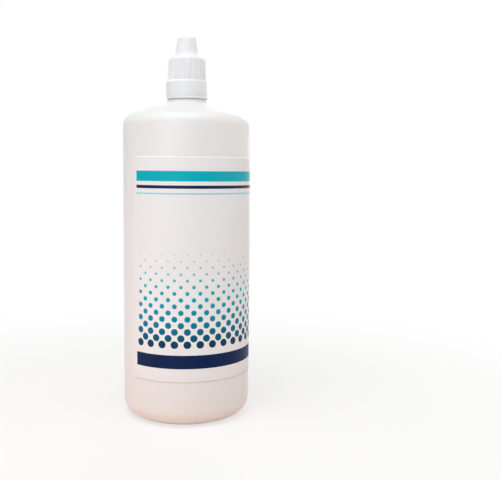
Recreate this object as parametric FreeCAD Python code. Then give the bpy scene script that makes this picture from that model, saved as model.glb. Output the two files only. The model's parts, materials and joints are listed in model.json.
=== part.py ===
import FreeCAD, Part
import math
import os

# A squeeze bottle for contact lens solution, in millimetres, standing on Z = 0 with its axis on Z.
# The printed front faces -Y.

# Bottle body, a blow-moulded shell
body_diameter = 60.0
body_wall = 1.0
heel_radius = 7.8
shoulder_height = 141.6  # where the lines of the wall and of the shoulder would meet
shoulder_rounding = 5.5
shoulder_slope = math.radians(18.6)
collar_diameter = 18.6  # the shoulder ends here, in a low collar whose top is a flat land under the ring
collar_height = 0.45
standing_ring_width = 3.5
push_up_height = 2.2

# Neck
neck_height = 15.5  # from the land to the rim
neck_diameter = 13.0
neck_bore = 10.8
neck_root_diameter = 14.2
bead_overhang = 1.3  # how far the retaining bead stands out from the neck's root
bead_face = 0.7
bead_taper = 1.7

# Wrap-around label
label_length = 150.0
label_height = 101.6
label_bottom = 21.3
label_film = 0.15
label_corner = 2.5
label_start = math.radians(-50.0)  # its left end, measured from the front towards +X
adhesive = 0.05

# Dropper nozzle, pressed into the neck
flange_height = 1.5
plug_depth = 8.0
plug_clearance = 0.05
plug_lead_in = 0.6
nozzle_wall = 1.2
spout_height = 10.2
spout_base_diameter = 9.2
spout_tip_diameter = 5.3
spout_tip_rounding = 0.6
spout_tip_wall = 1.6
orifice_diameter = 1.0

# Tamper ring and its bridges
ring_gap = 1.0  # over the land
ring_height = 1.65
ring_wall = 0.9
ring_set_back = 0.05  # from the cap's band
ring_chamfer = 0.5
ring_lip_clearance = 0.4  # to the neck's root
ring_lip_face = 0.3
ring_lip_setdown = 0.4  # below the ring's top
bridge_count = 10
bridge_height = 0.15
bridge_width = 0.9

# Screw cap
thread_room = 1.0  # between the neck and the skirt's bore
bead_clearance = 0.4
bead_headroom = 0.7  # over the bead's taper
band_wall = 1.0
band_height = 6.2
skirt_wall = 1.15
skirt_draft = math.radians(2.5)
roof_wall = 2.4  # over the seat
roof_slope = math.radians(40.0)
roof_rounding = 1.0
tip_root_fillet = 2.0
tip_clearance = 0.95
tip_wall = 1.05
tip_headroom = 1.2
tip_top_wall = 1.15
tip_chamfer = 0.3
pin_clearance = 0.15
pin_engagement = 0.6
rib_count = 36
groove_width = 0.75
groove_depth = 0.45

# Radii and heights that follow from these
body_radius = body_diameter / 2
shoulder_top = shoulder_height + (body_radius - collar_diameter / 2) * math.tan(shoulder_slope)
land_height = shoulder_top + collar_height
rim_height = land_height + neck_height
seat_height = rim_height + flange_height
spout_top = seat_height + spout_height
ring_bottom = land_height + ring_gap
ring_top = ring_bottom + ring_height
cap_bottom = ring_top + bridge_height
bead_bottom = cap_bottom
bead_radius = neck_root_diameter / 2 + bead_overhang
band_bore = bead_radius + bead_clearance
band_radius = band_bore + band_wall
ring_radius = band_radius - ring_set_back


def revolved(corners, sweep=360.0):
    """Turn a closed outline of (radius, height, rounding) corners about Z. Roundings are arcs."""
    points = [FreeCAD.Vector(corner[0], 0, corner[1]) for corner in corners]
    arcs = []
    for i, corner in enumerate(corners):
        point = points[i]
        rounding = corner[2] if len(corner) > 2 else 0
        back = (points[i - 1] - point).normalize()
        ahead = (points[(i + 1) % len(points)] - point).normalize()
        half = back.getAngle(ahead) / 2
        reach = rounding / math.tan(half)
        middle = (back + ahead).normalize() * (rounding / math.sin(half) - rounding) if rounding else back * 0
        arcs.append((point + back * reach, point + middle, point + ahead * reach))
    edges = []
    for i, (start, middle, end) in enumerate(arcs):
        if (end - start).Length > 1e-6:
            edges.append(Part.Arc(start, middle, end).toShape())
        edges.append(Part.LineSegment(end, arcs[(i + 1) % len(arcs)][0]).toShape())
    outline = Part.Face(Part.Wire(edges))
    return outline.revolve(FreeCAD.Vector(0, 0, 0), FreeCAD.Vector(0, 0, 1), sweep)


def around(shape, count):
    """Copies of a shape, evenly spaced round Z."""
    copies = []
    for i in range(count):
        copy = shape.copy()
        copy.rotate(FreeCAD.Vector(0, 0, 0), FreeCAD.Vector(0, 0, 1), 360.0 * i / count)
        copies.append(copy)
    return copies


def belly(inset):
    """Corners of the body from the middle of its base to the top of the shoulder, moved inwards by inset."""
    radius = body_radius - inset
    wall_top = shoulder_height + inset * math.tan(shoulder_slope) - inset / math.cos(shoulder_slope)
    top = shoulder_top - inset
    collar = radius - (top - wall_top) / math.tan(shoulder_slope)
    return [
        (0, inset),
        (radius, inset, heel_radius - inset),
        (radius, wall_top, shoulder_rounding - inset),
        (collar, top),
    ]


def bottle_body():
    root = neck_root_diameter / 2
    neck = neck_diameter / 2
    bore = neck_bore / 2
    outside = revolved(
        belly(0)
        + [
            (collar_diameter / 2, land_height),
            (root, land_height),
            (root, bead_bottom),
            (bead_radius, bead_bottom),
            (bead_radius, bead_bottom + bead_face),
            (neck, bead_bottom + bead_face + bead_taper),
            (neck, rim_height),
            (0, rim_height),
        ]
    )
    inside = revolved(
        belly(body_wall)
        + [
            (bore, shoulder_top - body_wall),
            (bore, rim_height),
            (0, rim_height),
        ]
    )
    # the base is domed up inside its standing ring, at the wall's thickness
    stand = body_radius - heel_radius - standing_ring_width
    dome = (stand**2 + push_up_height**2) / (2 * push_up_height)
    centre = FreeCAD.Vector(0, 0, push_up_height - dome)
    outside = outside.cut(Part.makeSphere(dome, centre))
    inside = inside.cut(Part.makeSphere(dome + body_wall, centre))
    return outside.cut(inside)


def label():
    inner = body_radius + adhesive
    outer = inner + label_film
    top = label_bottom + label_height
    sweep = math.degrees(label_length / inner)
    film = revolved([(inner, label_bottom), (outer, label_bottom), (outer, top), (inner, top)], sweep)
    film = film.makeFillet(label_corner, [e for e in film.Edges if e.Length < 2 * label_film])
    film.rotate(FreeCAD.Vector(0, 0, 0), FreeCAD.Vector(0, 0, 1), math.degrees(label_start) - 90)
    return film


def spout_radius(height):
    """The spout's outer radius at a height, and beyond its ends."""
    narrowing = (spout_base_diameter - spout_tip_diameter) / 2 / spout_height
    return spout_base_diameter / 2 - (height - seat_height) * narrowing


def nozzle():
    flange = neck_diameter / 2
    plug = neck_bore / 2 - plug_clearance
    bottom = rim_height - plug_depth
    tip_inside = spout_top - spout_tip_wall
    orifice = orifice_diameter / 2
    return revolved(
        [
            (plug - nozzle_wall, bottom),
            (plug - plug_lead_in, bottom),
            (plug, bottom + 2 * plug_lead_in),
            (plug, rim_height),
            (flange, rim_height),
            (flange, seat_height),
            (spout_radius(seat_height), seat_height),
            (spout_radius(spout_top), spout_top, spout_tip_rounding),
            (orifice, spout_top),
            (orifice, tip_inside),
            (spout_radius(tip_inside) - nozzle_wall, tip_inside),
            (spout_radius(seat_height) - nozzle_wall, seat_height),
            (plug - nozzle_wall, rim_height),
        ]
    )


def tamper_ring():
    inner = ring_radius - ring_wall
    lip = neck_root_diameter / 2 + ring_lip_clearance
    lip_top = ring_top - ring_lip_setdown
    ring = revolved(
        [
            (inner, ring_bottom),
            (ring_radius - ring_chamfer, ring_bottom),
            (ring_radius, ring_bottom + ring_chamfer),
            (ring_radius, ring_top),
            (inner, ring_top),
            (inner, lip_top),
            (lip, lip_top),
            (lip, lip_top - ring_lip_face),
        ]
    )
    bridge = Part.makeBox(ring_wall, bridge_width, ring_height / 2 + bridge_height)
    bridge.translate(FreeCAD.Vector(inner, -bridge_width / 2, ring_top - ring_height / 2))
    within = Part.makeCylinder(ring_radius, bridge_height, FreeCAD.Vector(0, 0, ring_top))
    bridges = [copy.common(within) for copy in around(bridge, bridge_count)]
    return ring.fuse(bridges).removeSplitter()


def cap():
    bore = neck_diameter / 2 + thread_room
    band_top = cap_bottom + band_height
    step = bead_bottom + bead_face + bead_taper + bead_headroom
    roof = seat_height + roof_wall
    skirt_top = bore + skirt_wall
    skirt_bottom = skirt_top + (roof - band_top) * math.tan(skirt_draft)
    ledge = band_top + band_radius - skirt_bottom
    tip_draft = math.atan((spout_base_diameter - spout_tip_diameter) / 2 / spout_height)
    tip_shell = tip_clearance + tip_wall / math.cos(tip_draft)
    ceiling = spout_top + tip_headroom
    top = ceiling + tip_top_wall
    # the roof runs in from the top of the skirt until it meets the tip
    reach = skirt_top - spout_radius(roof) - tip_shell
    root = roof + reach / (1 / math.tan(roof_slope) - math.tan(tip_draft))
    pin = orifice_diameter / 2 - pin_clearance
    shell = revolved(
        [
            (band_bore, cap_bottom),
            (band_radius, cap_bottom),
            (band_radius, band_top),
            (skirt_bottom, ledge),
            (skirt_top, roof, roof_rounding),
            (spout_radius(root) + tip_shell, root, tip_root_fillet),
            (spout_radius(top - tip_chamfer) + tip_shell, top - tip_chamfer),
            (spout_radius(top) + tip_shell - tip_chamfer, top),
            (0, top),
            (0, spout_top - pin_engagement),
            (pin, spout_top - pin_engagement),
            (pin, ceiling),
            (spout_radius(ceiling) + tip_clearance, ceiling),
            (spout_radius(seat_height) + tip_clearance, seat_height),
            (bore, seat_height),
            (bore, step + band_bore - bore),
            (band_bore, step),
        ]
    )
    # one grip groove: a wedge that follows the draft of the skirt, from the ledge out over the roof
    outer = skirt_bottom + groove_depth
    wedge = [
        FreeCAD.Vector(skirt_bottom - groove_depth, 0, ledge),
        FreeCAD.Vector(outer, groove_width, ledge),
        FreeCAD.Vector(outer, -groove_width, ledge),
    ]
    rise = roof - ledge + roof_rounding
    groove = Part.Face(Part.makePolygon(wedge + wedge[:1]))
    groove = groove.extrude(FreeCAD.Vector(-rise * math.tan(skirt_draft), 0, rise))
    return shell.cut(around(groove, rib_count))


os.makedirs("parts", exist_ok=True)
for make in (bottle_body, label, nozzle, tamper_ring, cap):
    make().exportStep(f"parts/{make.__name__}.step")
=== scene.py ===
import json
import math
import bmesh
import bpy
from mathutils import Matrix, Vector


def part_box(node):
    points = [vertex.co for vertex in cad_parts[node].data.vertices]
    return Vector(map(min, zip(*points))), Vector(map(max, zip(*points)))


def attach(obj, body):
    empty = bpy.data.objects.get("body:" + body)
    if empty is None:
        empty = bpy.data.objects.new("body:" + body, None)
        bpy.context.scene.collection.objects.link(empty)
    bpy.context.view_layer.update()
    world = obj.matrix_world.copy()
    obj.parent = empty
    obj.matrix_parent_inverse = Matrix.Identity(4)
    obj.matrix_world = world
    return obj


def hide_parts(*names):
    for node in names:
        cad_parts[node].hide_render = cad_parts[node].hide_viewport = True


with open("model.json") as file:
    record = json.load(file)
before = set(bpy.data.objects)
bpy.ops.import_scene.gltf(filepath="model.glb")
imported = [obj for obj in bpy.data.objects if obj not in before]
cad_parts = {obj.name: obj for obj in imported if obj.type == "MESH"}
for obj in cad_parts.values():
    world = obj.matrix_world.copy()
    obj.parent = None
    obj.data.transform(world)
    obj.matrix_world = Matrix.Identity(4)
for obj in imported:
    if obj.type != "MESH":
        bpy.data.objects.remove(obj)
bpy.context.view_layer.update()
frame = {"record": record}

# A squeeze bottle for contact lens solution. Settings are in millimetres and degrees, apart from those of
# the floor and the lamps, which are in metres like the meshes.
mm = 0.001
hair = 0.001  # millimetres, too little to tell two places apart
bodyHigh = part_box("bottle_body")[1] / mm
capLow, capHigh = (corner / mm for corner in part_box("cap"))
ringLow, ringHigh = (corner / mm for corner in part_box("tamper_ring"))
nozzleLow, nozzleHigh = (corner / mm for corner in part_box("nozzle"))
labelLow, labelHigh = (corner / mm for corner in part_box("label"))
bodyRadius = bodyHigh.x
rimHeight = bodyHigh.z
labelHeight = labelHigh.z - labelLow.z
# the cap's coupling gives metres of rise for a radian of turn
threadPitch = frame["record"]["behaviour"]["couplings"][0]["ratio"] * 2 * math.pi / mm


# Helpers for nodes, colours and meshes

def linear(hexColour):
    # undoes the sRGB curve
    channels = [int(hexColour[i:i + 2], 16) / 255 for i in (1, 3, 5)]
    return [c / 12.92 if c <= 0.04045 else ((c + 0.055) / 1.055) ** 2.4 for c in channels] + [1]


def addNode(tree, kind, inputs=None, **settings):
    # an input is a value, a socket, or a node, which stands for its first open output
    node = tree.nodes.new(kind)
    for name, value in settings.items():
        setattr(node, name, value)
    for socket, value in (inputs or {}).items():
        if isinstance(value, bpy.types.Node):
            value = next(output for output in value.outputs if output.enabled)
        if isinstance(value, bpy.types.NodeSocket):
            tree.links.new(value, node.inputs[socket])
        else:
            node.inputs[socket].default_value = value
    return node


def newMaterial(name):
    material = bpy.data.materials.new(name)
    material.use_nodes = True
    material.node_tree.nodes.clear()
    return material, material.node_tree


def newTree(name, sizes):
    tree = bpy.data.node_groups.new(name, "GeometryNodeTree")
    tree.interface.new_socket("Geometry", in_out="OUTPUT", socket_type="NodeSocketGeometry")
    tree.interface.new_socket("Geometry", in_out="INPUT", socket_type="NodeSocketGeometry")
    for size, value in sizes.items():
        kind = "NodeSocketInt" if isinstance(value, int) else "NodeSocketFloat"
        tree.interface.new_socket(size, in_out="INPUT", socket_type=kind)
    tree.interface.new_socket("Material", in_out="INPUT", socket_type="NodeSocketMaterial")
    return tree, addNode(tree, "NodeGroupInput").outputs


def closeTree(tree, given, geometry):
    real = addNode(tree, "GeometryNodeRealizeInstances", {"Geometry": geometry})
    painted = addNode(tree, "GeometryNodeSetMaterial", {"Geometry": real, "Material": given["Material"]})
    addNode(tree, "NodeGroupOutput", {"Geometry": painted})


def runTree(piece, tree, sizes, material):
    # the evaluated result becomes a plain mesh, and the modifier goes
    modifier = piece.modifiers.new(tree.name, "NODES")
    modifier.node_group = tree
    values = dict(sizes, Material=material)
    for socket in tree.interface.items_tree:
        if socket.in_out == "INPUT" and socket.name in values:
            modifier[socket.identifier] = values[socket.name]
    ready = piece.evaluated_get(bpy.context.evaluated_depsgraph_get())
    mesh = bpy.data.meshes.new_from_object(ready)
    piece.modifiers.clear()
    piece.data = mesh
    mesh.name = piece.name


def newPiece(name, mesh, material=None):
    piece = bpy.data.objects.new(name, mesh)
    bpy.context.scene.collection.objects.link(piece)
    if material:
        mesh.materials.append(material)
    return piece


def smoothEdges(piece, sharpest=38):
    piece.data.polygons.foreach_set("use_smooth", [True] * len(piece.data.polygons))
    piece.data.set_sharp_from_angle(angle=math.radians(sharpest))


def roundedOutline(corners, arcStep=9, longest=1000):
    # corners are (radius, height) or (radius, height, rounding), walked with the material on the left.
    # An arc turns by arcStep at most from point to point, and no step is longer than longest.
    points = []
    for i, corner in enumerate(corners):
        here = Vector(corner[:2])
        if len(corner) < 3:
            points.append(here)
            continue
        back = (Vector(corners[i - 1][:2]) - here).normalized()
        ahead = (Vector(corners[(i + 1) % len(corners)][:2]) - here).normalized()
        half = back.angle(ahead) / 2
        centre = here + (back + ahead).normalized() * (corner[2] / math.sin(half))
        start = here + back * (corner[2] / math.tan(half)) - centre
        turn = math.copysign(math.pi - 2 * half, ahead.cross(back))
        steps = max(2, math.ceil(abs(math.degrees(turn)) / arcStep))
        points += [centre + Matrix.Rotation(turn * k / steps, 2) @ start for k in range(steps + 1)]
    spaced = []
    for here, there in zip(points, points[1:] + points[:1]):
        parts = max(1, math.ceil((there - here).length / longest))
        spaced += [here.lerp(there, k / parts) for k in range(parts)]
    return spaced


def latheMesh(name, outline, around):
    form = bmesh.new()
    turns = [2 * math.pi * k / around for k in range(around)]
    circles = []
    for radius, height in outline:
        if radius < hair:
            circles.append([form.verts.new((0, 0, height * mm))] * around)
            continue
        circle = [(radius * math.cos(turn), radius * math.sin(turn), height) for turn in turns]
        circles.append([form.verts.new(Vector(point) * mm) for point in circle])
    for low, high in zip(circles, circles[1:] + circles[:1]):
        for k in range(around):
            after = (k + 1) % around
            corners = list(dict.fromkeys((low[k], low[after], high[after], high[k])))
            if len(corners) > 2:
                form.faces.new(corners)
    mesh = bpy.data.meshes.new(name)
    form.to_mesh(mesh)
    form.free()
    return mesh


# Materials

def blownPolyethylene():
    # low-density polyethylene from a blow mould: white, satin and faintly cloudy, with a soft orange peel
    look = {
        "white": "#e7e8e8", "cloud": "#e2e3e3", "cloudSize": 16, "rough": (0.38, 0.5), "lightReach": 1.0,
        "dieLineSize": 2.4, "dieLineStretch": 50, "peelSize": 1.6, "peelDepth": 0.05,
        # this row is the painted warm shade round the root of the neck, in the gap under the tamper ring
        "root": "#e6dfcb", "gapShadeReach": 0.8, "gapShadeBlend": 0.4,
    }
    material, tree = newMaterial("blownPolyethylene")
    place = addNode(tree, "ShaderNodeTexCoord").outputs["Object"]
    cloud = addNode(tree, "ShaderNodeTexNoise", {
        "Vector": place, "Scale": 1 / (look["cloudSize"] * mm), "Detail": 3,
    })
    # the die draws faint lines up the wall before the mould closes
    stretched = addNode(tree, "ShaderNodeMapping", {
        "Vector": place, "Scale": (1, 1, 1 / look["dieLineStretch"]),
    })
    lines = addNode(tree, "ShaderNodeTexNoise", {
        "Vector": stretched, "Scale": 1 / (look["dieLineSize"] * mm), "Detail": 2,
    })
    both = addNode(tree, "ShaderNodeMath", {0: cloud, 1: lines}, operation="MULTIPLY")
    tint = addNode(
        tree, "ShaderNodeMix", {"Factor": both, "A": linear(look["white"]), "B": linear(look["cloud"])},
        data_type="RGBA",
    )
    # painted shade: the plastic is tinted a warm cream round the root of the neck, in the gap under the
    # tamper ring
    height = addNode(tree, "ShaderNodeSeparateXYZ", {0: place}).outputs["Z"]
    root = rimHeight - bottle["neckHeight"] + look["gapShadeReach"]
    above = addNode(tree, "ShaderNodeMath", {0: height, 1: root * mm}, operation="SUBTRACT")
    away = addNode(tree, "ShaderNodeMath", {0: above}, operation="ABSOLUTE")
    gapShadeMask = addNode(tree, "ShaderNodeMapRange", {
        "Value": away, "From Min": look["gapShadeReach"] * mm,
        "From Max": (look["gapShadeReach"] - look["gapShadeBlend"]) * mm,
    })
    tint = addNode(
        tree, "ShaderNodeMix", {"Factor": gapShadeMask, "A": tint, "B": linear(look["root"])}, data_type="RGBA",
    )
    smoothest, roughest = look["rough"]
    rough = addNode(tree, "ShaderNodeMapRange", {"Value": cloud, "To Min": smoothest, "To Max": roughest})
    peel = addNode(tree, "ShaderNodeTexNoise", {
        "Vector": place, "Scale": 1 / (look["peelSize"] * mm), "Detail": 1,
    })
    bump = addNode(tree, "ShaderNodeBump", {
        "Height": peel, "Strength": 0.25, "Distance": look["peelDepth"] * mm,
    })
    shader = addNode(tree, "ShaderNodeBsdfPrincipled", {
        "Base Color": tint, "Roughness": rough, "Normal": bump, "IOR": 1.51, "Subsurface Weight": 0.5,
        "Subsurface Radius": (1, 0.85, 0.7), "Subsurface Scale": look["lightReach"] * mm,
    })
    addNode(tree, "ShaderNodeOutputMaterial", {"Surface": shader})
    return material


def mouldedPolypropylene():
    # polypropylene from a polished injection mould: cool bright white, a little glossier than the bottle,
    # with a fine spark texture
    look = {
        "white": "#eaebef", "flow": "#e6e7eb", "flowSize": 7, "rough": (0.3, 0.4), "lightReach": 0.2,
        "sparkSize": 0.35, "sparkDepth": 0.02,
    }
    material, tree = newMaterial("mouldedPolypropylene")
    place = addNode(tree, "ShaderNodeTexCoord").outputs["Object"]
    flow = addNode(tree, "ShaderNodeTexNoise", {
        "Vector": place, "Scale": 1 / (look["flowSize"] * mm), "Detail": 2,
    })
    tint = addNode(
        tree, "ShaderNodeMix", {"Factor": flow, "A": linear(look["white"]), "B": linear(look["flow"])},
        data_type="RGBA",
    )
    smoothest, roughest = look["rough"]
    rough = addNode(tree, "ShaderNodeMapRange", {"Value": flow, "To Min": smoothest, "To Max": roughest})
    spark = addNode(tree, "ShaderNodeTexNoise", {
        "Vector": place, "Scale": 1 / (look["sparkSize"] * mm), "Detail": 1,
    })
    bump = addNode(tree, "ShaderNodeBump", {
        "Height": spark, "Strength": 0.2, "Distance": look["sparkDepth"] * mm,
    })
    shader = addNode(tree, "ShaderNodeBsdfPrincipled", {
        "Base Color": tint, "Roughness": rough, "Normal": bump, "IOR": 1.49, "Specular IOR Level": 0.25,
        "Subsurface Weight": 0.5, "Subsurface Radius": (1, 0.95, 0.9),
        "Subsurface Scale": look["lightReach"] * mm,
    })
    addNode(tree, "ShaderNodeOutputMaterial", {"Surface": shader})
    return material


def naturalPolyethylene():
    # unpigmented polyethylene: milky, waxy, and light passes a little way into it
    look = {"milk": "#eceee9", "haze": "#e3e7e2", "hazeSize": 4, "rough": (0.32, 0.45), "lightReach": 1.5}
    material, tree = newMaterial("naturalPolyethylene")
    place = addNode(tree, "ShaderNodeTexCoord").outputs["Object"]
    haze = addNode(tree, "ShaderNodeTexNoise", {
        "Vector": place, "Scale": 1 / (look["hazeSize"] * mm), "Detail": 2,
    })
    tint = addNode(
        tree, "ShaderNodeMix", {"Factor": haze, "A": linear(look["milk"]), "B": linear(look["haze"])},
        data_type="RGBA",
    )
    smoothest, roughest = look["rough"]
    rough = addNode(tree, "ShaderNodeMapRange", {"Value": haze, "To Min": smoothest, "To Max": roughest})
    shader = addNode(tree, "ShaderNodeBsdfPrincipled", {
        "Base Color": tint, "Roughness": rough, "IOR": 1.51, "Subsurface Weight": 0.4,
        "Subsurface Radius": (1, 1, 0.9), "Subsurface Scale": look["lightReach"] * mm,
    })
    addNode(tree, "ShaderNodeOutputMaterial", {"Surface": shader})
    return material


# The print: plain stripes and a screen of dots, placed along the film and up from its lower edge
filmPrint = {
    "film": "#eaebed", "shade": "#e7e7e9", "shadeSize": 22, "shadeDepth": 0.5,
    "filmRough": 0.46, "inkRough": 0.4,
    "navy": "#031f49", "blue": "#0085a6", "turquoise": "#00abbb", "aqua": "#9bd3da",
    # the first two colours here are a painted highlight for the film's upper cut edge and a painted shadow
    # for its lower one
    "paintedEdgeHighlight": "#fdfdfd", "paintedEdgeShadow": "#d6cbc4", "edgeLine": 0.4, "margin": 3.2,
    # the bottom, height and ink of each stripe
    "stripes": ((6.4, 6.2, "navy"), (84.8, 0.7, "aqua"), (87.4, 1.4, "navy"), (90.6, 4.6, "turquoise")),
    "dotPitch": 4.1, "dotSlant": 45, "dotRows": (15.5, 60), "dotRadii": (1.8, 0.22),
    # the inks of the dots, by their share of the way up
    "dotInks": ((0.0, "navy"), (0.3, "blue"), (0.6, "turquoise"), (1.0, "aqua")),
}


def printStripes(tree, film, paint):
    look = filmPrint
    middle = labelSheet["length"] / 2
    line = look["edgeLine"]
    # a painted shadow darkens the film's lower edge, and a painted highlight lightens its upper edge: both
    # run to its ends
    stripes = [(0, line, "paintedEdgeShadow", 0), (labelHeight - line, line, "paintedEdgeHighlight", 0)]
    stripes += [stripe + (look["margin"],) for stripe in look["stripes"]]
    along, up, _ = addNode(tree, "ShaderNodeSeparateXYZ", {0: film}).outputs
    ink = 0.0
    for bottom, height, colour, margin in stripes:
        level = addNode(
            tree, "ShaderNodeMath", {0: up, 1: bottom + height / 2, 2: height / 2}, operation="COMPARE",
        )
        inside = addNode(
            tree, "ShaderNodeMath", {0: along, 1: middle, 2: middle - margin}, operation="COMPARE",
        )
        stripe = addNode(tree, "ShaderNodeMath", {0: level, 1: inside}, operation="MULTIPLY")
        paint = addNode(
            tree, "ShaderNodeMix", {"Factor": stripe, "A": paint, "B": linear(look[colour])},
            data_type="RGBA",
        )
        ink = addNode(tree, "ShaderNodeMath", {0: ink, 1: stripe}, operation="MAXIMUM")
    return paint, ink


def printDots(tree, film, paint):
    # a printer's screen on the slant, whose dots shrink and lighten up the film
    look = filmPrint
    pitch = look["dotPitch"]
    low, high = (row / pitch for row in look["dotRows"])
    largest, smallest = (radius / pitch for radius in look["dotRadii"])
    slant = math.radians(look["dotSlant"])
    turned = addNode(tree, "ShaderNodeMapping", {
        "Vector": film, "Rotation": (0, 0, slant), "Scale": [1 / pitch] * 3,
    })
    screen = addNode(
        tree, "ShaderNodeTexVoronoi", {"Vector": turned, "Scale": 1.0, "Randomness": 0.0},
        voronoi_dimensions="2D",
    )
    centre = addNode(
        tree, "ShaderNodeVectorRotate", {"Vector": screen.outputs["Position"], "Angle": -slant},
        rotation_type="Z_AXIS",
    )
    column, row, _ = addNode(tree, "ShaderNodeSeparateXYZ", {0: centre}).outputs
    climb = addNode(
        tree, "ShaderNodeMapRange", {"Value": row, "From Min": low, "From Max": high}, clamp=False,
    )
    radius = addNode(tree, "ShaderNodeMapRange", {"Value": climb, "To Min": largest, "To Max": smallest})
    dot = addNode(
        tree, "ShaderNodeMath", {0: screen.outputs["Distance"], 1: radius}, operation="LESS_THAN",
    )
    # only whole dots are printed, between the first and last rows and inside the margins
    rows = addNode(tree, "ShaderNodeMath", {0: climb, 1: 0.5, 2: 0.5}, operation="COMPARE")
    middle = labelSheet["length"] / 2 / pitch
    reach = middle - look["margin"] / pitch - largest
    columns = addNode(tree, "ShaderNodeMath", {0: column, 1: middle, 2: reach}, operation="COMPARE")
    field = addNode(tree, "ShaderNodeMath", {0: rows, 1: columns}, operation="MULTIPLY")
    ink = addNode(tree, "ShaderNodeMath", {0: dot, 1: field}, operation="MULTIPLY")
    ramp = addNode(tree, "ShaderNodeValToRGB", {"Fac": climb})
    for share, _ in look["dotInks"][1:-1]:
        ramp.color_ramp.elements.new(share)
    for stop, (share, colour) in zip(ramp.color_ramp.elements, look["dotInks"]):
        stop.position = share
        stop.color = linear(look[colour])
    paint = addNode(tree, "ShaderNodeMix", {"Factor": ink, "A": paint, "B": ramp}, data_type="RGBA")
    return paint, ink


def printedFilm():
    # white polypropylene film, printed and varnished: smooth and satin, with flat inks a little glossier.
    # Its UV map is in millimetres along and up the film.
    look = filmPrint
    material, tree = newMaterial("printedFilm")
    film = addNode(tree, "ShaderNodeUVMap", uv_map="filmMap")
    shade = addNode(tree, "ShaderNodeTexNoise", {
        "Vector": film, "Scale": 1 / look["shadeSize"], "Detail": 2,
    })
    paint = addNode(
        tree, "ShaderNodeMix", {"Factor": shade, "A": linear(look["film"]), "B": linear(look["shade"])},
        data_type="RGBA",
    )
    paint, stripeInk = printStripes(tree, film, paint)
    paint, dotInk = printDots(tree, film, paint)
    ink = addNode(tree, "ShaderNodeMath", {0: stripeInk, 1: dotInk}, operation="MAXIMUM")
    rough = addNode(tree, "ShaderNodeMapRange", {
        "Value": ink, "To Min": look["filmRough"], "To Max": look["inkRough"],
    })
    bump = addNode(tree, "ShaderNodeBump", {
        "Height": shade, "Strength": 0.2, "Distance": look["shadeDepth"] * mm,
    })
    shader = addNode(tree, "ShaderNodeBsdfPrincipled", {
        "Base Color": paint, "Roughness": rough, "Normal": bump, "IOR": 1.5, "Specular IOR Level": 0.1,
    })
    addNode(tree, "ShaderNodeOutputMaterial", {"Surface": shader})
    return material


# The bottle: one closed shell, from the push-up of its base to the rim of its neck
bottle = {
    "wall": 1.0, "heelRounding": 7.8, "shoulderHeight": 141.6, "shoulderRounding": 5.5, "slope": 18.6,
    "standWidth": 3.5, "pushUp": 2.2, "pushUpEdge": 0.8, "domeSteps": 8,
    "collarHeight": 0.45, "collarBead": 0.35, "collarEdge": 0.17,
    "ledgeRadius": 8.75, "ledgeHeight": 0.9, "rootRadius": 7.1, "rootFillet": 0.9,
    "beadRadius": 8.4, "beadFace": 0.7, "beadTaper": 1.7,
    "beadLowerEdge": 0.12, "beadUpperEdge": 0.2, "beadFillet": 0.4,
    "neckHeight": 15.5, "neckRadius": 6.5, "boreRadius": 5.4, "rimRounding": 0.3,
    "around": 240, "longestStep": 30,
}


def bottleOutline(inset):
    slope = math.radians(bottle["slope"])
    # the base is a dome inside its standing ring
    stand = bodyRadius - bottle["heelRounding"] - bottle["standWidth"]
    dome = (stand ** 2 + bottle["pushUp"] ** 2) / (2 * bottle["pushUp"])
    sphere = dome + inset
    foot = math.sqrt(sphere ** 2 - (inset + dome - bottle["pushUp"]) ** 2)
    steps = bottle["domeSteps"]
    arc = [foot * k / steps for k in range(steps)]
    domePoints = [(r, math.sqrt(sphere ** 2 - r ** 2) - dome + bottle["pushUp"]) for r in arc]
    top = rimHeight - bottle["neckHeight"] - bottle["collarHeight"] - inset
    wallTop = bottle["shoulderHeight"] + inset * math.tan(slope) - inset / math.cos(slope)
    radius = bodyRadius - inset
    collar = radius - (top - wallTop) / math.tan(slope)
    return domePoints + [
        (foot, inset, bottle["pushUpEdge"]),
        (radius, inset, bottle["heelRounding"] - inset),
        (radius, wallTop, bottle["shoulderRounding"] - inset),
        (collar, top, bottle["collarEdge"]),
    ]


def makeBottle(material):
    land = rimHeight - bottle["neckHeight"]
    beadBottom = capLow.z
    beadTop = beadBottom + bottle["beadFace"]
    belly = bottleOutline(0)
    collar = belly[-1][0]
    # the land has a low bead round it, and steps up to a ledge just inside the tamper ring's lower edge
    crest = land + bottle["collarBead"]
    ledge = land + bottle["ledgeHeight"]
    outside = belly + [
        (collar, crest, bottle["collarEdge"]),
        (bottle["ledgeRadius"], crest, bottle["collarEdge"]),
        (bottle["ledgeRadius"], ledge, bottle["collarEdge"]),
        (bottle["rootRadius"], ledge, bottle["rootFillet"]),
        (bottle["rootRadius"], beadBottom),
        (bottle["beadRadius"], beadBottom, bottle["beadLowerEdge"]),
        (bottle["beadRadius"], beadTop, bottle["beadUpperEdge"]),
        (bottle["neckRadius"], beadTop + bottle["beadTaper"], bottle["beadFillet"]),
        (bottle["neckRadius"], rimHeight, bottle["rimRounding"]),
    ]
    inside = bottleOutline(bottle["wall"]) + [
        (bottle["boreRadius"], land - bottle["collarHeight"] - bottle["wall"], bottle["wall"]),
        (bottle["boreRadius"], rimHeight, bottle["rimRounding"]),
    ]
    outline = roundedOutline(outside + inside[::-1], longest=bottle["longestStep"])
    piece = newPiece("bottleShell", latheMesh("bottleShell", outline, bottle["around"]), material)
    smoothEdges(piece)
    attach(piece, "bottle")
    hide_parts("bottle_body")
    print("bottle shell:", len(piece.data.polygons), "faces")
    rim = next(k for k, point in enumerate(outline) if point.y > rimHeight - hair)
    return outline[:rim]


# The two halves of the blow mould leave a fine bead up both sides, and a weld across the base
seam = {
    "halfWidth": 0.14, "height": 0.035, "footHeight": 2.5,
    "weldHalfWidth": 0.55, "weldHeight": 0.22, "weldReach": 13.0, "sharpest": 80,
}


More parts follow.
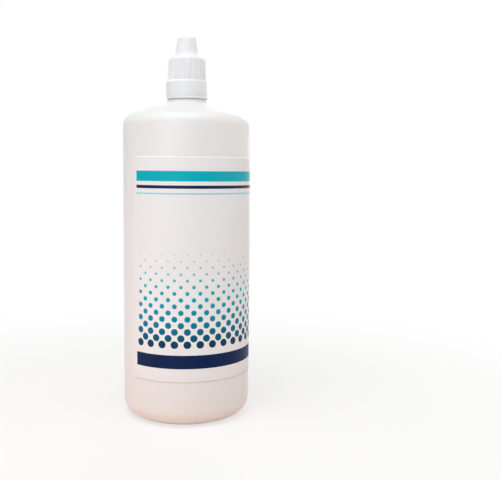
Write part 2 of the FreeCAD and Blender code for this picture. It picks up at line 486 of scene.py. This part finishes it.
def seamTree():
    tree, given = newTree("mouldSeam", {"Half Width": 0.0, "Height": 0.0})
    path = addNode(tree, "GeometryNodeMeshToCurve", {"Mesh": given["Geometry"]})
    level = addNode(tree, "GeometryNodeSetCurveNormal", {"Curve": path, "Normal": (0, 1, 0)}, mode="FREE")
    circle = addNode(
        tree, "GeometryNodeCurvePrimitiveCircle", {"Resolution": 10, "Radius": 1.0}, mode="RADIUS",
    )
    size = addNode(tree, "ShaderNodeCombineXYZ", {0: given["Half Width"], 1: given["Height"], 2: 1.0})
    section = addNode(tree, "GeometryNodeTransform", {"Geometry": circle, "Scale": size})
    bead = addNode(tree, "GeometryNodeCurveToMesh", {
        "Curve": level, "Profile Curve": section, "Fill Caps": True,
    })
    closeTree(tree, given, bead)
    return tree


def makeSeam(outline, material):
    side = [(x, z) for x, z in outline if z > seam["footHeight"]]
    base = [(x, z) for x, z in outline if z < seam["footHeight"] and x < seam["weldReach"]]
    mirrored = [(-x, z) for x, z in side]
    across = [(-x, z) for x, z in base[:0:-1]] + base
    beads = (
        ("seamRight", side, seam["halfWidth"], seam["height"]),
        ("seamLeft", mirrored, seam["halfWidth"], seam["height"]),
        ("baseWeld", across, seam["weldHalfWidth"], seam["weldHeight"]),
    )
    tree = seamTree()
    for name, path, halfWidth, height in beads:
        mesh = bpy.data.meshes.new(name)
        points = [Vector((x, 0, z)) * mm for x, z in path]
        mesh.from_pydata(points, [(k, k + 1) for k in range(len(points) - 1)], [])
        piece = newPiece(name, mesh)
        runTree(piece, tree, {"Half Width": halfWidth * mm, "Height": height * mm}, material)
        smoothEdges(piece, seam["sharpest"])
        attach(piece, "bottle")
    print("mould seam:", len(side), "points up each side")


# The wrap-around label: a film whose cut edges are rolled down onto the wall
labelSheet = {
    "start": -50, "length": 150.0, "film": 0.15, "adhesive": 0.05, "corner": 2.5, "cutEdge": 0.05,
    "edgeTaper": 0.5, "taperShares": (0, 0.12, 0.28, 0.5, 0.75, 1),
    "cornerSteps": 10, "columnStep": 1.0, "rows": 16, "sharpest": 50,
}


def labelColumns():
    # distances along the film, closest together where its corners bend
    length = labelSheet["length"]
    corner = labelSheet["corner"]
    steps = labelSheet["cornerSteps"]
    bend = [corner * (1 - math.cos(math.radians(90 / steps * k))) for k in range(steps)]
    middle = round((length - 2 * corner) / labelSheet["columnStep"])
    straight = [corner + (length - 2 * corner) * k / middle for k in range(1, middle)]
    return bend + straight + [length - x for x in reversed(bend)]


def labelMargin(x, y):
    # distance in from the film's border, a rectangle with rounded corners
    corner = labelSheet["corner"]
    length = labelSheet["length"]
    across = abs(x - length / 2) - length / 2 + corner
    above = abs(y - labelHeight / 2) - labelHeight / 2 + corner
    return corner - math.hypot(max(across, 0), max(above, 0)) - min(max(across, above), 0)


def labelFaces(form, outer, under):
    # the printed face, the glued face behind it, and the cut edges between them
    rows = len(outer[0]) - 1
    for k in range(len(outer) - 1):
        for j in range(rows):
            form.faces.new((outer[k][j], outer[k + 1][j], outer[k + 1][j + 1], outer[k][j + 1]))
            back = form.faces.new((under[k][j], under[k][j + 1], under[k + 1][j + 1], under[k + 1][j]))
            back.material_index = 1
        form.faces.new((under[k][0], under[k + 1][0], outer[k + 1][0], outer[k][0]))
        form.faces.new((outer[k][-1], outer[k + 1][-1], under[k + 1][-1], under[k][-1]))
    for j in range(rows):
        form.faces.new((outer[0][j], outer[0][j + 1], under[0][j + 1], under[0][j]))
        form.faces.new((under[-1][j], under[-1][j + 1], outer[-1][j + 1], outer[-1][j]))


def makeLabel(printed, bare):
    sheet = labelSheet
    innerRadius = bodyRadius + sheet["adhesive"]
    length = sheet["length"]
    corner = sheet["corner"]
    edge = sheet["edgeTaper"]
    columns = labelColumns()
    rolled = [edge * share for share in sheet["taperShares"]]
    form = bmesh.new()
    filmMap = form.loops.layers.uv.new("filmMap")
    outer, under, flat = [], [], {}
    for x in columns:
        inset = max(corner - min(x, length - x), 0)
        cut = corner - math.sqrt(corner ** 2 - inset ** 2)
        span = labelHeight - 2 * cut
        rows = rolled + [edge + (span - 2 * edge) * k / sheet["rows"] for k in range(1, sheet["rows"])]
        rows += [span - y for y in reversed(rolled)]
        turn = math.radians(sheet["start"] - 90) + x / innerRadius
        top, bottom = [], []
        for y in rows:
            depth = min(labelMargin(x, cut + y) / edge, 1)
            rise = math.sin(max(depth, 0) * math.pi / 2)
            lift = sheet["cutEdge"] + (sheet["film"] - sheet["cutEdge"]) * rise
            for line, radius in ((top, innerRadius + lift), (bottom, innerRadius)):
                point = Vector((radius * math.cos(turn), radius * math.sin(turn), labelLow.z + cut + y))
                vertex = form.verts.new(point * mm)
                flat[vertex] = (x, cut + y)
                line.append(vertex)
        outer.append(top)
        under.append(bottom)
    labelFaces(form, outer, under)
    for face in form.faces:
        for loop in face.loops:
            loop[filmMap].uv = flat[loop.vert]
    mesh = bpy.data.meshes.new("wrapLabel")
    form.to_mesh(mesh)
    form.free()
    piece = newPiece("wrapLabel", mesh, printed)
    mesh.materials.append(bare)
    smoothEdges(piece, sheet["sharpest"])
    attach(piece, "bottle")
    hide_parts("label")
    print("label:", len(columns), "columns of", len(rows))


# The dropper nozzle, pressed into the neck
nozzle = {
    "flangeHeight": 1.5, "wall": 1.2, "leadIn": 0.6, "plugClearance": 0.05,
    "spoutBaseRadius": 4.6, "spoutTipRadius": 2.65, "spoutHeight": 10.2,
    "tipRounding": 0.6, "tipWall": 1.6, "orificeRadius": 0.5,
    "edge": 0.2, "orificeEdge": 0.12, "softEdge": 0.5, "around": 128,
}
spoutNarrowing = (nozzle["spoutBaseRadius"] - nozzle["spoutTipRadius"]) / nozzle["spoutHeight"]
seatHeight = rimHeight + nozzle["flangeHeight"]  # the top of the flange, where the cap closes


def spoutRadius(height):
    return nozzle["spoutBaseRadius"] - (height - seatHeight) * spoutNarrowing


def makeNozzle(material):
    edge = nozzle["edge"]
    softEdge = nozzle["softEdge"]
    plug = bottle["boreRadius"] - nozzle["plugClearance"]
    bore = plug - nozzle["wall"]
    bottom = nozzleLow.z
    top = nozzleHigh.z
    ceiling = top - nozzle["tipWall"]
    outline = roundedOutline([
        (bore, bottom, edge),
        (plug - nozzle["leadIn"], bottom, edge),
        (plug, bottom + 2 * nozzle["leadIn"], softEdge),
        (plug, rimHeight),
        (nozzleHigh.x, rimHeight, edge),
        (nozzleHigh.x, seatHeight, edge),
        (spoutRadius(seatHeight), seatHeight, edge),
        (spoutRadius(top), top, nozzle["tipRounding"]),
        (nozzle["orificeRadius"], top, nozzle["orificeEdge"]),
        (nozzle["orificeRadius"], ceiling),
        (spoutRadius(ceiling) - nozzle["wall"], ceiling, softEdge),
        (spoutRadius(seatHeight) - nozzle["wall"], seatHeight, softEdge),
        (bore, rimHeight, softEdge),
    ])
    piece = newPiece("dropperNozzle", latheMesh("dropperNozzle", outline, nozzle["around"]), material)
    smoothEdges(piece)
    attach(piece, "bottle")
    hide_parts("nozzle")
    print("nozzle:", len(piece.data.polygons), "faces")


# The tamper ring, and the bridges that hold it to the cap until the first opening
ring = {
    "wall": 0.9, "chamfer": 0.5, "rounding": 0.15, "edge": 0.05,
    "lipRadius": 7.5, "lipFace": 0.3, "lipSetdown": 0.4, "around": 180,
    "bridges": 10, "bridgeHeight": 0.08, "bridgeWidth": 0.9, "bridgeRoot": 0.1, "bridgeSetback": 0.12,
}


def bridgeTree():
    sizes = {"Count": 1} | dict.fromkeys(("Radius", "Wall", "Width", "Height", "Base"), 0.0)
    tree, given = newTree("breakBridges", sizes)
    size = addNode(tree, "ShaderNodeCombineXYZ", {0: given["Wall"], 1: given["Width"], 2: given["Height"]})
    block = addNode(tree, "GeometryNodeMeshCube", {"Size": size})
    circle = addNode(tree, "GeometryNodeMeshCircle", {
        "Vertices": given["Count"], "Radius": given["Radius"],
    })
    place = addNode(tree, "GeometryNodeInputPosition")
    outwards = addNode(
        tree, "FunctionNodeAlignRotationToVector", {"Vector": place}, axis="X", pivot_axis="Z",
    )
    blocks = addNode(tree, "GeometryNodeInstanceOnPoints", {
        "Points": circle, "Instance": block, "Rotation": outwards,
    })
    lift = addNode(tree, "ShaderNodeCombineXYZ", {2: given["Base"]})
    raised = addNode(tree, "GeometryNodeTransform", {"Geometry": blocks, "Translation": lift})
    both = addNode(tree, "GeometryNodeJoinGeometry", {"Geometry": given["Geometry"]})
    tree.links.new(raised.outputs[0], both.inputs[0])
    closeTree(tree, given, both)
    return tree


def makeRing(material):
    edge = ring["edge"]
    outer = ringHigh.x
    inner = outer - ring["wall"]
    bottom = ringLow.z
    top = ringHigh.z - ring["bridgeHeight"]
    lipTop = top - ring["lipSetdown"]
    outline = roundedOutline([
        (inner, bottom, edge),
        (outer - ring["chamfer"], bottom, ring["rounding"]),
        (outer, bottom + ring["chamfer"], ring["rounding"]),
        (outer, top, edge),
        (inner, top, edge),
        (inner, lipTop),
        (ring["lipRadius"], lipTop, edge),
        (ring["lipRadius"], lipTop - ring["lipFace"], edge),
    ])
    piece = newPiece("tamperRing", latheMesh("tamperRing", outline, ring["around"]))
    # the bridges reach a little into the ring, so that they grow out of it
    root = ring["bridgeRoot"]
    sizes = {
        "Count": ring["bridges"], "Radius": (inner + outer) / 2 * mm,
        "Wall": (ring["wall"] - ring["bridgeSetback"]) * mm, "Width": ring["bridgeWidth"] * mm,
        "Height": (ring["bridgeHeight"] + root) * mm,
        "Base": (top + (ring["bridgeHeight"] - root) / 2) * mm,
    }
    runTree(piece, bridgeTree(), sizes, material)
    smoothEdges(piece)
    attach(piece, "ring")
    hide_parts("tamper_ring")
    print("tamper ring:", ring["bridges"], "bridges")


# The ribbed cap: one turned shell, then the grip grooves pull the skirt in
cap = {
    "bandBoreRadius": 8.8, "bandHeight": 6.2, "bandEdge": 0.45, "beadRoom": 3.1, "edge": 0.06,
    "boreRadius": 7.5, "boreEdge": 0.3, "skirtWall": 1.15, "draft": 2.5,
    "roofWall": 2.4, "roofSlope": 40, "roofRounding": 1.0, "rootFillet": 2.0,
    "tipClearance": 0.95, "tipWall": 1.05, "tipHeadroom": 1.2, "tipEdge": 0.4,
    "ceilingFillet": 0.4, "seatEdge": 0.15,
    "pinRadius": 0.35, "pinReach": 0.6, "pinEdge": 0.12, "pinFillet": 0.2,
    "gateRadius": 1.1, "gateDepth": 0.18, "gateTaper": 0.2, "gateEdge": 0.08,
    "ribs": 36, "grooveWidth": 0.75, "grooveDepth": 0.45, "softness": 0.1,
    "outsideFrom": 0.3,  # points of the skirt further than this from its bore are on its outside
    "aroundPerRib": 12, "longestStep": 0.8,
}


def grooveTree():
    names = (
        "Foot Height", "Foot Radius", "Draft", "Depth", "Width", "Softness", "Top Height", "Least Radius",
    )
    tree, given = newTree("gripGrooves", {"Ribs": 1} | dict.fromkeys(names, 0.0))
    place = addNode(tree, "GeometryNodeInputPosition")
    x, y, z = addNode(tree, "ShaderNodeSeparateXYZ", {0: place}).outputs
    flat = addNode(tree, "ShaderNodeCombineXYZ", {0: x, 1: y})
    radius = addNode(tree, "ShaderNodeVectorMath", {0: flat}, operation="LENGTH")
    # how far round from the middle of its groove a point lies
    half = addNode(tree, "ShaderNodeMath", {0: math.pi, 1: given["Ribs"]}, operation="DIVIDE")
    lower = addNode(tree, "ShaderNodeMath", {0: half, 1: -1.0}, operation="MULTIPLY")
    angle = addNode(tree, "ShaderNodeMath", {0: y, 1: x}, operation="ARCTAN2")
    turn = addNode(tree, "ShaderNodeMath", {0: angle, 1: half, 2: lower}, operation="WRAP")
    part = addNode(tree, "ShaderNodeMath", {0: turn}, operation="ABSOLUTE")
    arc = addNode(tree, "ShaderNodeMath", {0: part, 1: radius}, operation="MULTIPLY")
    aside = addNode(
        tree, "ShaderNodeMath", {0: arc, 1: 0.0, 2: given["Softness"]}, operation="SMOOTH_MAX",
    )
    # the groove is a wedge that follows the draft, and the skirt keeps whichever radius is less
    above = addNode(tree, "ShaderNodeMath", {0: z, 1: given["Foot Height"]}, operation="SUBTRACT")
    drawn = addNode(tree, "ShaderNodeMath", {0: above, 1: given["Draft"]}, operation="MULTIPLY")
    bed = addNode(
        tree, "ShaderNodeMath", {0: given["Foot Radius"], 1: given["Depth"]}, operation="SUBTRACT",
    )
    bottom = addNode(tree, "ShaderNodeMath", {0: bed, 1: drawn}, operation="SUBTRACT")
    double = addNode(tree, "ShaderNodeMath", {0: given["Depth"], 1: 2.0}, operation="MULTIPLY")
    steepness = addNode(tree, "ShaderNodeMath", {0: double, 1: given["Width"]}, operation="DIVIDE")
    wedge = addNode(
        tree, "ShaderNodeMath", {0: aside, 1: steepness, 2: bottom}, operation="MULTIPLY_ADD",
    )
    least = addNode(
        tree, "ShaderNodeMath", {0: radius, 1: wedge, 2: given["Softness"]}, operation="SMOOTH_MIN",
    )
    kept = addNode(tree, "ShaderNodeMath", {0: least, 1: radius}, operation="DIVIDE")
    drawnIn = addNode(tree, "ShaderNodeVectorMath", {0: flat, "Scale": kept}, operation="SCALE")
    level = addNode(tree, "ShaderNodeCombineXYZ", {2: z})
    moved = addNode(tree, "ShaderNodeVectorMath", {0: drawnIn, 1: level}, operation="ADD")
    # only the outside of the skirt moves
    low = addNode(tree, "ShaderNodeMath", {0: above, 1: -hair * mm}, operation="GREATER_THAN")
    high = addNode(tree, "ShaderNodeMath", {0: z, 1: given["Top Height"]}, operation="LESS_THAN")
    out = addNode(tree, "ShaderNodeMath", {0: radius, 1: given["Least Radius"]}, operation="GREATER_THAN")
    within = addNode(tree, "ShaderNodeMath", {0: low, 1: high}, operation="MULTIPLY")
    chosen = addNode(tree, "ShaderNodeMath", {0: within, 1: out}, operation="MULTIPLY")
    grooved = addNode(tree, "GeometryNodeSetPosition", {
        "Geometry": given["Geometry"], "Selection": chosen, "Position": moved,
    })
    closeTree(tree, given, grooved)
    return tree


def makeCap(material):
    bore = cap["boreRadius"]
    bandBore = cap["bandBoreRadius"]
    bandRadius = capHigh.x
    bottom = capLow.z
    bandTop = bottom + cap["bandHeight"]
    step = bottom + cap["beadRoom"]
    roof = seatHeight + cap["roofWall"]
    draft = math.tan(math.radians(cap["draft"]))
    skirtTop = bore + cap["skirtWall"]
    skirtFoot = skirtTop + (roof - bandTop) * draft
    ledge = bandTop + bandRadius - skirtFoot
    # the tip follows the spout inside it
    shell = cap["tipClearance"] + cap["tipWall"] * math.hypot(1, spoutNarrowing)
    ceiling = nozzleHigh.z + cap["tipHeadroom"]
    top = capHigh.z
    gateFloor = top - cap["gateDepth"]
    pinEnd = nozzleHigh.z - cap["pinReach"]
    # the roof runs in from the top of the skirt until it meets the tip
    reach = skirtTop - spoutRadius(roof) - shell
    root = roof + reach / (1 / math.tan(math.radians(cap["roofSlope"])) - spoutNarrowing)
    outline = roundedOutline([
        (bandBore, bottom, cap["edge"]),
        (bandRadius, bottom, cap["edge"]),
        (bandRadius, bandTop, cap["bandEdge"]),
        (skirtFoot, ledge),
        (skirtTop, roof, cap["roofRounding"]),
        (spoutRadius(root) + shell, root, cap["rootFillet"]),
        (spoutRadius(top) + shell, top, cap["tipEdge"]),
        (cap["gateRadius"], top, cap["gateEdge"]),
        (cap["gateRadius"] - cap["gateTaper"], gateFloor, cap["gateEdge"]),
        (0, gateFloor),
        (0, pinEnd),
        (cap["pinRadius"], pinEnd, cap["pinEdge"]),
        (cap["pinRadius"], ceiling, cap["pinFillet"]),
        (spoutRadius(ceiling) + cap["tipClearance"], ceiling, cap["ceilingFillet"]),
        (spoutRadius(seatHeight) + cap["tipClearance"], seatHeight, cap["seatEdge"]),
        (bore, seatHeight, cap["boreEdge"]),
        (bore, step + bandBore - bore, cap["boreEdge"]),
        (bandBore, step, cap["boreEdge"]),
    ], longest=cap["longestStep"])
    piece = newPiece("ribbedCap", latheMesh("ribbedCap", outline, cap["ribs"] * cap["aroundPerRib"]))
    sizes = {
        "Ribs": cap["ribs"], "Foot Height": ledge * mm, "Foot Radius": skirtFoot * mm, "Draft": draft,
        "Depth": cap["grooveDepth"] * mm, "Width": cap["grooveWidth"] * mm,
        "Softness": cap["softness"] * mm, "Top Height": (roof + cap["roofRounding"]) * mm,
        "Least Radius": (bore + cap["outsideFrom"]) * mm,
    }
    runTree(piece, grooveTree(), sizes, material)
    smoothEdges(piece)
    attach(piece, "screw_cap")
    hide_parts("cap")
    print("cap:", cap["ribs"], "ribs,", len(piece.data.polygons), "faces")


# The thread: a ridge round the neck and one inside the cap, half a pitch apart
thread = {
    "turns": 1.6, "belowRim": 7.5, "rootWidth": 1.25, "crestWidth": 0.6, "height": 0.7, "sunk": 0.15,
    "rounding": 0.15, "leadShare": 0.09, "endShare": 0.04, "steps": 72,
}


def ridgeTree():
    names = (
        "Radius", "Turns", "Rise", "Start", "Root Width", "Crest Width", "Height", "Sunk", "Rounding",
        "Lead", "End", "Facing",
    )
    tree, given = newTree("threadRidge", {"Steps": 1} | dict.fromkeys(names, 0.0))
    helix = addNode(tree, "GeometryNodeCurveSpiral", {
        "Resolution": given["Steps"], "Rotations": given["Turns"], "Start Radius": given["Radius"],
        "End Radius": given["Radius"], "Height": given["Rise"], "Reverse": True,
    })
    lift = addNode(tree, "ShaderNodeCombineXYZ", {2: given["Start"]})
    placed = addNode(tree, "GeometryNodeTransform", {"Geometry": helix, "Translation": lift})
    upright = addNode(tree, "GeometryNodeSetCurveNormal", {"Curve": placed}, mode="Z_UP")
    # both ends run out to almost nothing
    factor = addNode(tree, "GeometryNodeSplineParameter").outputs["Factor"]
    left = addNode(tree, "ShaderNodeMath", {0: 1.0, 1: factor}, operation="SUBTRACT")
    nearest = addNode(tree, "ShaderNodeMath", {0: factor, 1: left}, operation="MINIMUM")
    lead = addNode(
        tree, "ShaderNodeMapRange", {"Value": nearest, "From Max": given["Lead"], "To Min": given["End"]},
        interpolation_type="SMOOTHSTEP",
    )
    # a trapezoid section, root to crest, facing out or in
    sunk = addNode(tree, "ShaderNodeMath", {0: given["Sunk"], 1: -1.0}, operation="MULTIPLY")
    inwards = addNode(tree, "ShaderNodeMath", {0: sunk, 1: given["Facing"]}, operation="MULTIPLY")
    outwards = addNode(
        tree, "ShaderNodeMath", {0: given["Height"], 1: given["Facing"]}, operation="MULTIPLY",
    )
    corners = (
        (inwards, "Root Width", -0.5), (outwards, "Crest Width", -0.5),
        (outwards, "Crest Width", 0.5), (inwards, "Root Width", 0.5),
    )
    points = {}
    for k, (depth, width, side) in enumerate(corners):
        across = addNode(tree, "ShaderNodeMath", {0: given[width], 1: side}, operation="MULTIPLY")
        points[f"Point {k + 1}"] = addNode(tree, "ShaderNodeCombineXYZ", {0: depth, 1: across})
    section = addNode(tree, "GeometryNodeCurvePrimitiveQuadrilateral", points, mode="POINTS")
    rounded = addNode(
        tree, "GeometryNodeFilletCurve",
        {"Curve": section, "Radius": given["Rounding"], "Limit Radius": True, "Count": 3}, mode="POLY",
    )
    ridge = addNode(tree, "GeometryNodeCurveToMesh", {
        "Curve": upright, "Profile Curve": rounded, "Scale": lead, "Fill Caps": True,
    })
    closeTree(tree, given, ridge)
    return tree


def makeThreads(neckMaterial, capMaterial):
    tree = ridgeTree()
    turns = thread["turns"]
    start = rimHeight - thread["belowRim"]
    between = start - threadPitch / 2
    sizes = {
        "Steps": thread["steps"], "Turns": turns, "Rise": turns * threadPitch * mm,
        "Root Width": thread["rootWidth"] * mm, "Crest Width": thread["crestWidth"] * mm,
        "Height": thread["height"] * mm, "Sunk": thread["sunk"] * mm, "Rounding": thread["rounding"] * mm,
        "Lead": thread["leadShare"], "End": thread["endShare"],
    }
    # the neck's ridge faces out, and the cap's faces in
    ridges = (
        ("neckThread", "bottle", "bottle_plastic", neckMaterial, bottle["neckRadius"], start, 1.0),
        ("capThread", "screw_cap", "cap_plastic", capMaterial, cap["boreRadius"], between, -1.0),
    )
    for name, body, slot, material, radius, height, facing in ridges:
        piece = newPiece(name, bpy.data.meshes.new(name))
        own = {"Radius": radius * mm, "Start": height * mm, "Facing": facing}
        runTree(piece, tree, sizes | own, material)
        smoothEdges(piece)
        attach(piece, body)
        print(name + ":", turns, "turns,", len(piece.data.polygons), "faces")


# The floor: pale paper that goes to white away from the bottle, and keeps its shadow
paperFloor = {
    "size": 3.0, "paper": "#f6f5f4", "fadeFrom": 0.08, "fadeTo": 0.28, "leastWhite": 0.62,
    "bounce": "#f5e8e1", "glow": "#f3c6b4", "glowTo": 0.11,
}


def seenRays(tree):
    # 1 for what is looked at, straight, in a gloss or through something clear, and 0 for other light
    rays = addNode(tree, "ShaderNodeLightPath").outputs
    seen = addNode(
        tree, "ShaderNodeMath", {0: rays["Is Camera Ray"], 1: rays["Is Glossy Ray"]}, operation="MAXIMUM",
    )
    return addNode(tree, "ShaderNodeMath", {0: seen, 1: rays["Is Transmission Ray"]}, operation="MAXIMUM")


def makeFloor():
    look = paperFloor
    bpy.ops.mesh.primitive_plane_add(size=look["size"])
    floor = bpy.context.object
    floor.name = "floor"
    material, tree = newMaterial("paleFloor")
    place = addNode(tree, "ShaderNodeTexCoord").outputs["Object"]
    away = addNode(tree, "ShaderNodeVectorMath", {0: place}, operation="LENGTH")
    fade = addNode(
        tree, "ShaderNodeMapRange",
        {"Value": away, "From Min": look["fadeFrom"], "From Max": look["fadeTo"]},
        interpolation_type="SMOOTHSTEP",
    )
    seen = seenRays(tree)
    bright = addNode(tree, "ShaderNodeMapRange", {"Value": fade, "To Min": look["leastWhite"]})
    white = addNode(tree, "ShaderNodeMath", {0: seen, 1: bright}, operation="MULTIPLY")
    # what the floor throws back onto the bottle is warmer than the floor looks, most of all close to it
    near = addNode(tree, "ShaderNodeMapRange", {
        "Value": away, "From Min": bodyRadius * mm, "From Max": look["glowTo"],
    })
    warm = addNode(
        tree, "ShaderNodeMix", {"Factor": near, "A": linear(look["glow"]), "B": linear(look["bounce"])},
        data_type="RGBA",
    )
    paper = addNode(
        tree, "ShaderNodeMix", {"Factor": seen, "A": warm, "B": linear(look["paper"])}, data_type="RGBA",
    )
    matt = addNode(tree, "ShaderNodeBsdfDiffuse", {"Color": paper})
    glow = addNode(tree, "ShaderNodeEmission", {"Color": (1, 1, 1, 1)})
    mixed = addNode(tree, "ShaderNodeMixShader", {0: white, 1: matt, 2: glow})
    addNode(tree, "ShaderNodeOutputMaterial", {"Surface": mixed})
    floor.data.materials.append(material)
    print("floor:", look["size"], "m across")


# The room looks white, and lights the bottle only a little
room = {"tint": "#f8f6f4", "light": 0.155}


def makeRoom():
    world = bpy.data.worlds.new("studio")
    bpy.context.scene.world = world
    world.use_nodes = True
    tree = world.node_tree
    tree.nodes.clear()
    dim = addNode(tree, "ShaderNodeBackground", {
        "Color": linear(room["tint"]), "Strength": room["light"],
    })
    white = addNode(tree, "ShaderNodeBackground", {"Color": (1, 1, 1, 1), "Strength": 1.0})
    mixed = addNode(tree, "ShaderNodeMixShader", {0: seenRays(tree), 1: dim, 2: white})
    addNode(tree, "ShaderNodeOutputWorld", {"Surface": mixed})
    print("room light:", room["light"])


# Soft lamps: each one's place, the height on the bottle's axis that it faces, its size and its watts
lamps = {
    "overhead": {
        "at": (-0.08, -0.2, 0.72), "aim": 0.13, "size": (0.55, 0.55), "power": 3.55, "tint": "#ffffff",
    },
    "front": {
        "at": (-0.3, -0.8, 0.12), "aim": 0.09, "size": (0.7, 0.5), "power": 3.5, "tint": "#f9ffff",
    },
    "right": {
        "at": (0.6, 0.15, 0.3), "aim": 0.09, "size": (0.6, 0.6), "power": 1.3, "tint": "#fffcf4",
    },
    "back": {
        "at": (0.15, 0.8, 0.3), "aim": 0.09, "size": (0.6, 0.5), "power": 2.2, "tint": "#ffffff",
    },
    "rightFill": {
        "at": (0.5, -0.25, 0.08), "aim": 0.05, "size": (0.3, 0.14), "power": 0.28, "tint": "#ffffff",
    },
    "pinkFoot": {
        "at": (-0.16, -0.07, 0.03), "aim": 0.01, "size": (0.12, 0.05), "power": 0.037, "tint": "#ffcfc9",
    },
}


def makeLamps():
    for name, lamp in lamps.items():
        data = bpy.data.lights.new(name, "AREA")
        data.shape = "RECTANGLE"
        data.size, data.size_y = lamp["size"]
        data.energy = lamp["power"]
        data.color = linear(lamp["tint"])[:3]
        light = bpy.data.objects.new(name, data)
        bpy.context.scene.collection.objects.link(light)
        light.location = lamp["at"]
        aim = Vector((0, 0, lamp["aim"])) - light.location
        light.rotation_euler = aim.to_track_quat("-Z", "Y").to_euler()
    print("lamps:", len(lamps))


# The photograph's camera
camera = {
    "aside": 30.65, "back": 367.4, "height": 117.7, "downTilt": 5.31, "roll": 0.522,
    "focal": 55.03, "sensor": 36, "clipStart": 10,
}


def makeCamera():
    data = bpy.data.cameras.new("photoCamera")
    data.sensor_width = camera["sensor"]
    data.lens = camera["focal"]
    data.clip_start = camera["clipStart"] * mm
    eye = bpy.data.objects.new("photoCamera", data)
    bpy.context.scene.collection.objects.link(eye)
    tilt = Matrix.Rotation(math.radians(90 - camera["downTilt"]), 4, "X")
    roll = Matrix.Rotation(math.radians(camera["roll"]), 4, "Z")
    place = Matrix.Translation(Vector((camera["aside"], -camera["back"], camera["height"])) * mm)
    eye.matrix_world = place @ tilt @ roll
    bpy.context.scene.camera = eye
    bpy.context.scene.view_settings.view_transform = "Standard"
    print("camera:", camera["focal"], "mm lens")


bottlePlastic = blownPolyethylene()
capPlastic = mouldedPolypropylene()
nozzlePlastic = naturalPolyethylene()
labelPrint = printedFilm()
wallOutline = makeBottle(bottlePlastic)
makeSeam(wallOutline, bottlePlastic)
makeLabel(labelPrint, bottlePlastic)
makeNozzle(nozzlePlastic)
makeRing(capPlastic)
makeCap(capPlastic)
makeThreads(bottlePlastic, capPlastic)
makeFloor()
makeRoom()
makeLamps()
makeCamera()
